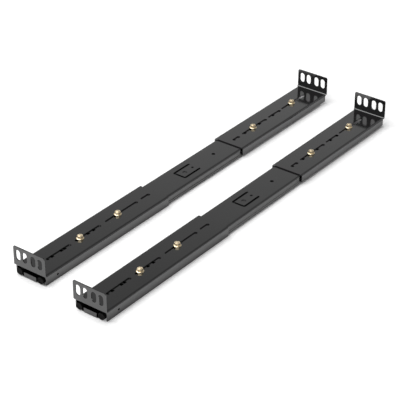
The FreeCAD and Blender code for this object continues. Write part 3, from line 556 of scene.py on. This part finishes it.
def balls(rail, run, finishes):
    """The true round balls of one cage."""
    low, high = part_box(f"{rail}_{run}_balls")
    radius = (high[2] - low[2]) / 2
    bpy.ops.object.select_all(action="DESELECT")
    start = Vector((low[0] + radius, low[1] + radius, low[2] + radius))
    bpy.ops.mesh.primitive_uv_sphere_add(segments=32, ring_count=20, radius=radius, location=start)
    model = settle(bpy.context.object)
    bpy.ops.object.shade_smooth()
    across = high[0] - low[0] - 2 * radius
    made = [model]
    for row in range(BALL_ROWS):
        for side in range(2):
            if row or side:
                made.append(copied(model, (across * side, BALL_PITCH * row, 0.0)))
    material = finishes[f"{run}_balls"]
    finish_piece(joined(made), f"{rail}_{run}_balls", f"{rail}_{run}_cage", material)


def tongue_cutter(rail):
    """The cutter for the slit round the tongue, which is open at the back."""
    length = TONGUE_BACK - TONGUE_FRONT + TONGUE_CUT / 2
    middle = TONGUE_FRONT - TONGUE_CUT / 2 + length / 2
    around = (2 * TONGUE_HALF + TONGUE_CUT, length, 0.0024)
    inside = (2 * TONGUE_HALF - TONGUE_CUT, length, 0.0040)
    place = at(rail, 0.0, middle, WEB_INSIDE)
    further = at(rail, 0.0, middle + TONGUE_CUT, WEB_INSIDE)
    cutter = rounded_block(place, around, axis=2, radius=0.0036, segments=6)
    tongue = rounded_block(further, inside, axis=2, radius=0.0012, segments=4)
    work_with(cutter, tongue, "DIFFERENCE")
    return cutter


def outer_member(rail, finishes):
    """The outer member, its tongue's cut, hole and seat and its access holes as wide as photographed."""
    cutter = tongue_cutter(rail)
    member = node_copy(f"{rail}_outer_member")
    work_with(member, cutter, "DIFFERENCE")
    rounds = [TONGUE_HOLE, TONGUE_SEAT] + [(along, ACCESS_RADIUS, WEB_BELOW) for along in ACCESS_HOLES]
    for along, radius, low in rounds:
        drill = turned(at(rail, 0.0, along, 0.0), [(radius, low), (radius, WEB_ABOVE)], sides=32)
        work_with(member, drill, "DIFFERENCE")
    shade_sheet(member)
    finish_piece(member, f"{rail}_outer_member", "outer_rails", finishes["outer_member"])


def rear_bracket(rail, finishes):
    """The rear bracket with its sides ending as far above the floor as the photograph shows."""
    bracket = node_copy(f"{rail}_rear_bracket")
    size = (0.08, 0.5, 2 * REAR_SIDE_LIFT)
    below = rounded_block(at(rail, 0.0, 0.6, 0.0), size, axis=2, radius=0.001, segments=1)
    work_with(bracket, below, "DIFFERENCE")
    shade_sheet(bracket)
    material = finishes["rear_bracket"]
    finish_piece(bracket, f"{rail}_rear_bracket", f"{rail}_rear_mount", material)


def make_pieces(finishes):
    for rail in RAILS:
        rear_bracket(rail, finishes)
        outer_member(rail, finishes)
        clamps(rail, finishes)
        bumpers(rail, finishes)
        balls(rail, "outer", finishes)
        balls(rail, "inner", finishes)


# Camera, light and floor

def put_world():
    """A studio that is white to the camera and a soft gradient to the rails."""
    bpy.context.scene.view_settings.view_transform = "Standard"
    studio = Finish(bpy.data.worlds.new("studio"))
    direction = studio.node("ShaderNodeTexCoord", output="Generated")
    height = studio.node("ShaderNodeSeparateXYZ", None, [direction], "Z")
    stops = [(place, grey(level)) for place, level in SKY]
    sky = studio.node("ShaderNodeValToRGB", {"stops": stops}, [height])
    around = studio.node("ShaderNodeBackground", None, {"Color": sky})
    white = studio.node("ShaderNodeBackground", None, {"Color": grey(1.0)})
    seen = studio.node("ShaderNodeLightPath", output="Is Camera Ray")
    both = studio.node("ShaderNodeMixShader", None, [seen, around, white])
    bpy.context.scene.world = studio.close("ShaderNodeOutputWorld", both)


def put_floor():
    """Plain paper just under the rails."""
    bpy.ops.object.select_all(action="DESELECT")
    bpy.ops.mesh.primitive_plane_add(size=FLOOR_SIZE, location=(0, 0, -FLOOR_DROP))
    floor = bpy.context.object
    floor.name = "floor"
    floor.data.materials.append(floor_paper())


def put_lamps():
    """Square soft lamps, aimed at the middle of the floor."""
    for name, (place, width, power) in LAMPS.items():
        data = bpy.data.lights.new(name, "AREA")
        data.size = width
        data.energy = power
        lamp = bpy.data.objects.new(name, data)
        bpy.context.scene.collection.objects.link(lamp)
        turn = Vector(place).to_track_quat("Z", "Y").to_matrix().to_4x4()
        lamp.matrix_world = Matrix.Translation(place) @ turn


def put_camera():
    """The camera at the photograph's place and angle."""
    east, north = math.sin(VIEW_AZIMUTH), math.cos(VIEW_AZIMUTH)
    level, height = math.cos(VIEW_ELEVATION), math.sin(VIEW_ELEVATION)
    back = Vector((east * level, -north * level, height))
    right = Vector((north, east, 0.0))
    data = bpy.data.cameras.new("camera")
    camera = bpy.data.objects.new("camera", data)
    bpy.context.scene.collection.objects.link(camera)
    data.sensor_width = SENSOR_WIDTH
    data.lens = SENSOR_WIDTH * FOCAL_PIXELS / PHOTO_WIDTH
    turn = Matrix((right, back.cross(right), back)).transposed().to_4x4()
    place = at("left", *VIEW_TARGET) + back * VIEW_DISTANCE
    camera.matrix_world = Matrix.Translation(place) @ turn
    bpy.context.scene.camera = camera


make_pieces(dress_nodes())
put_world()
put_floor()
put_lamps()
put_camera()
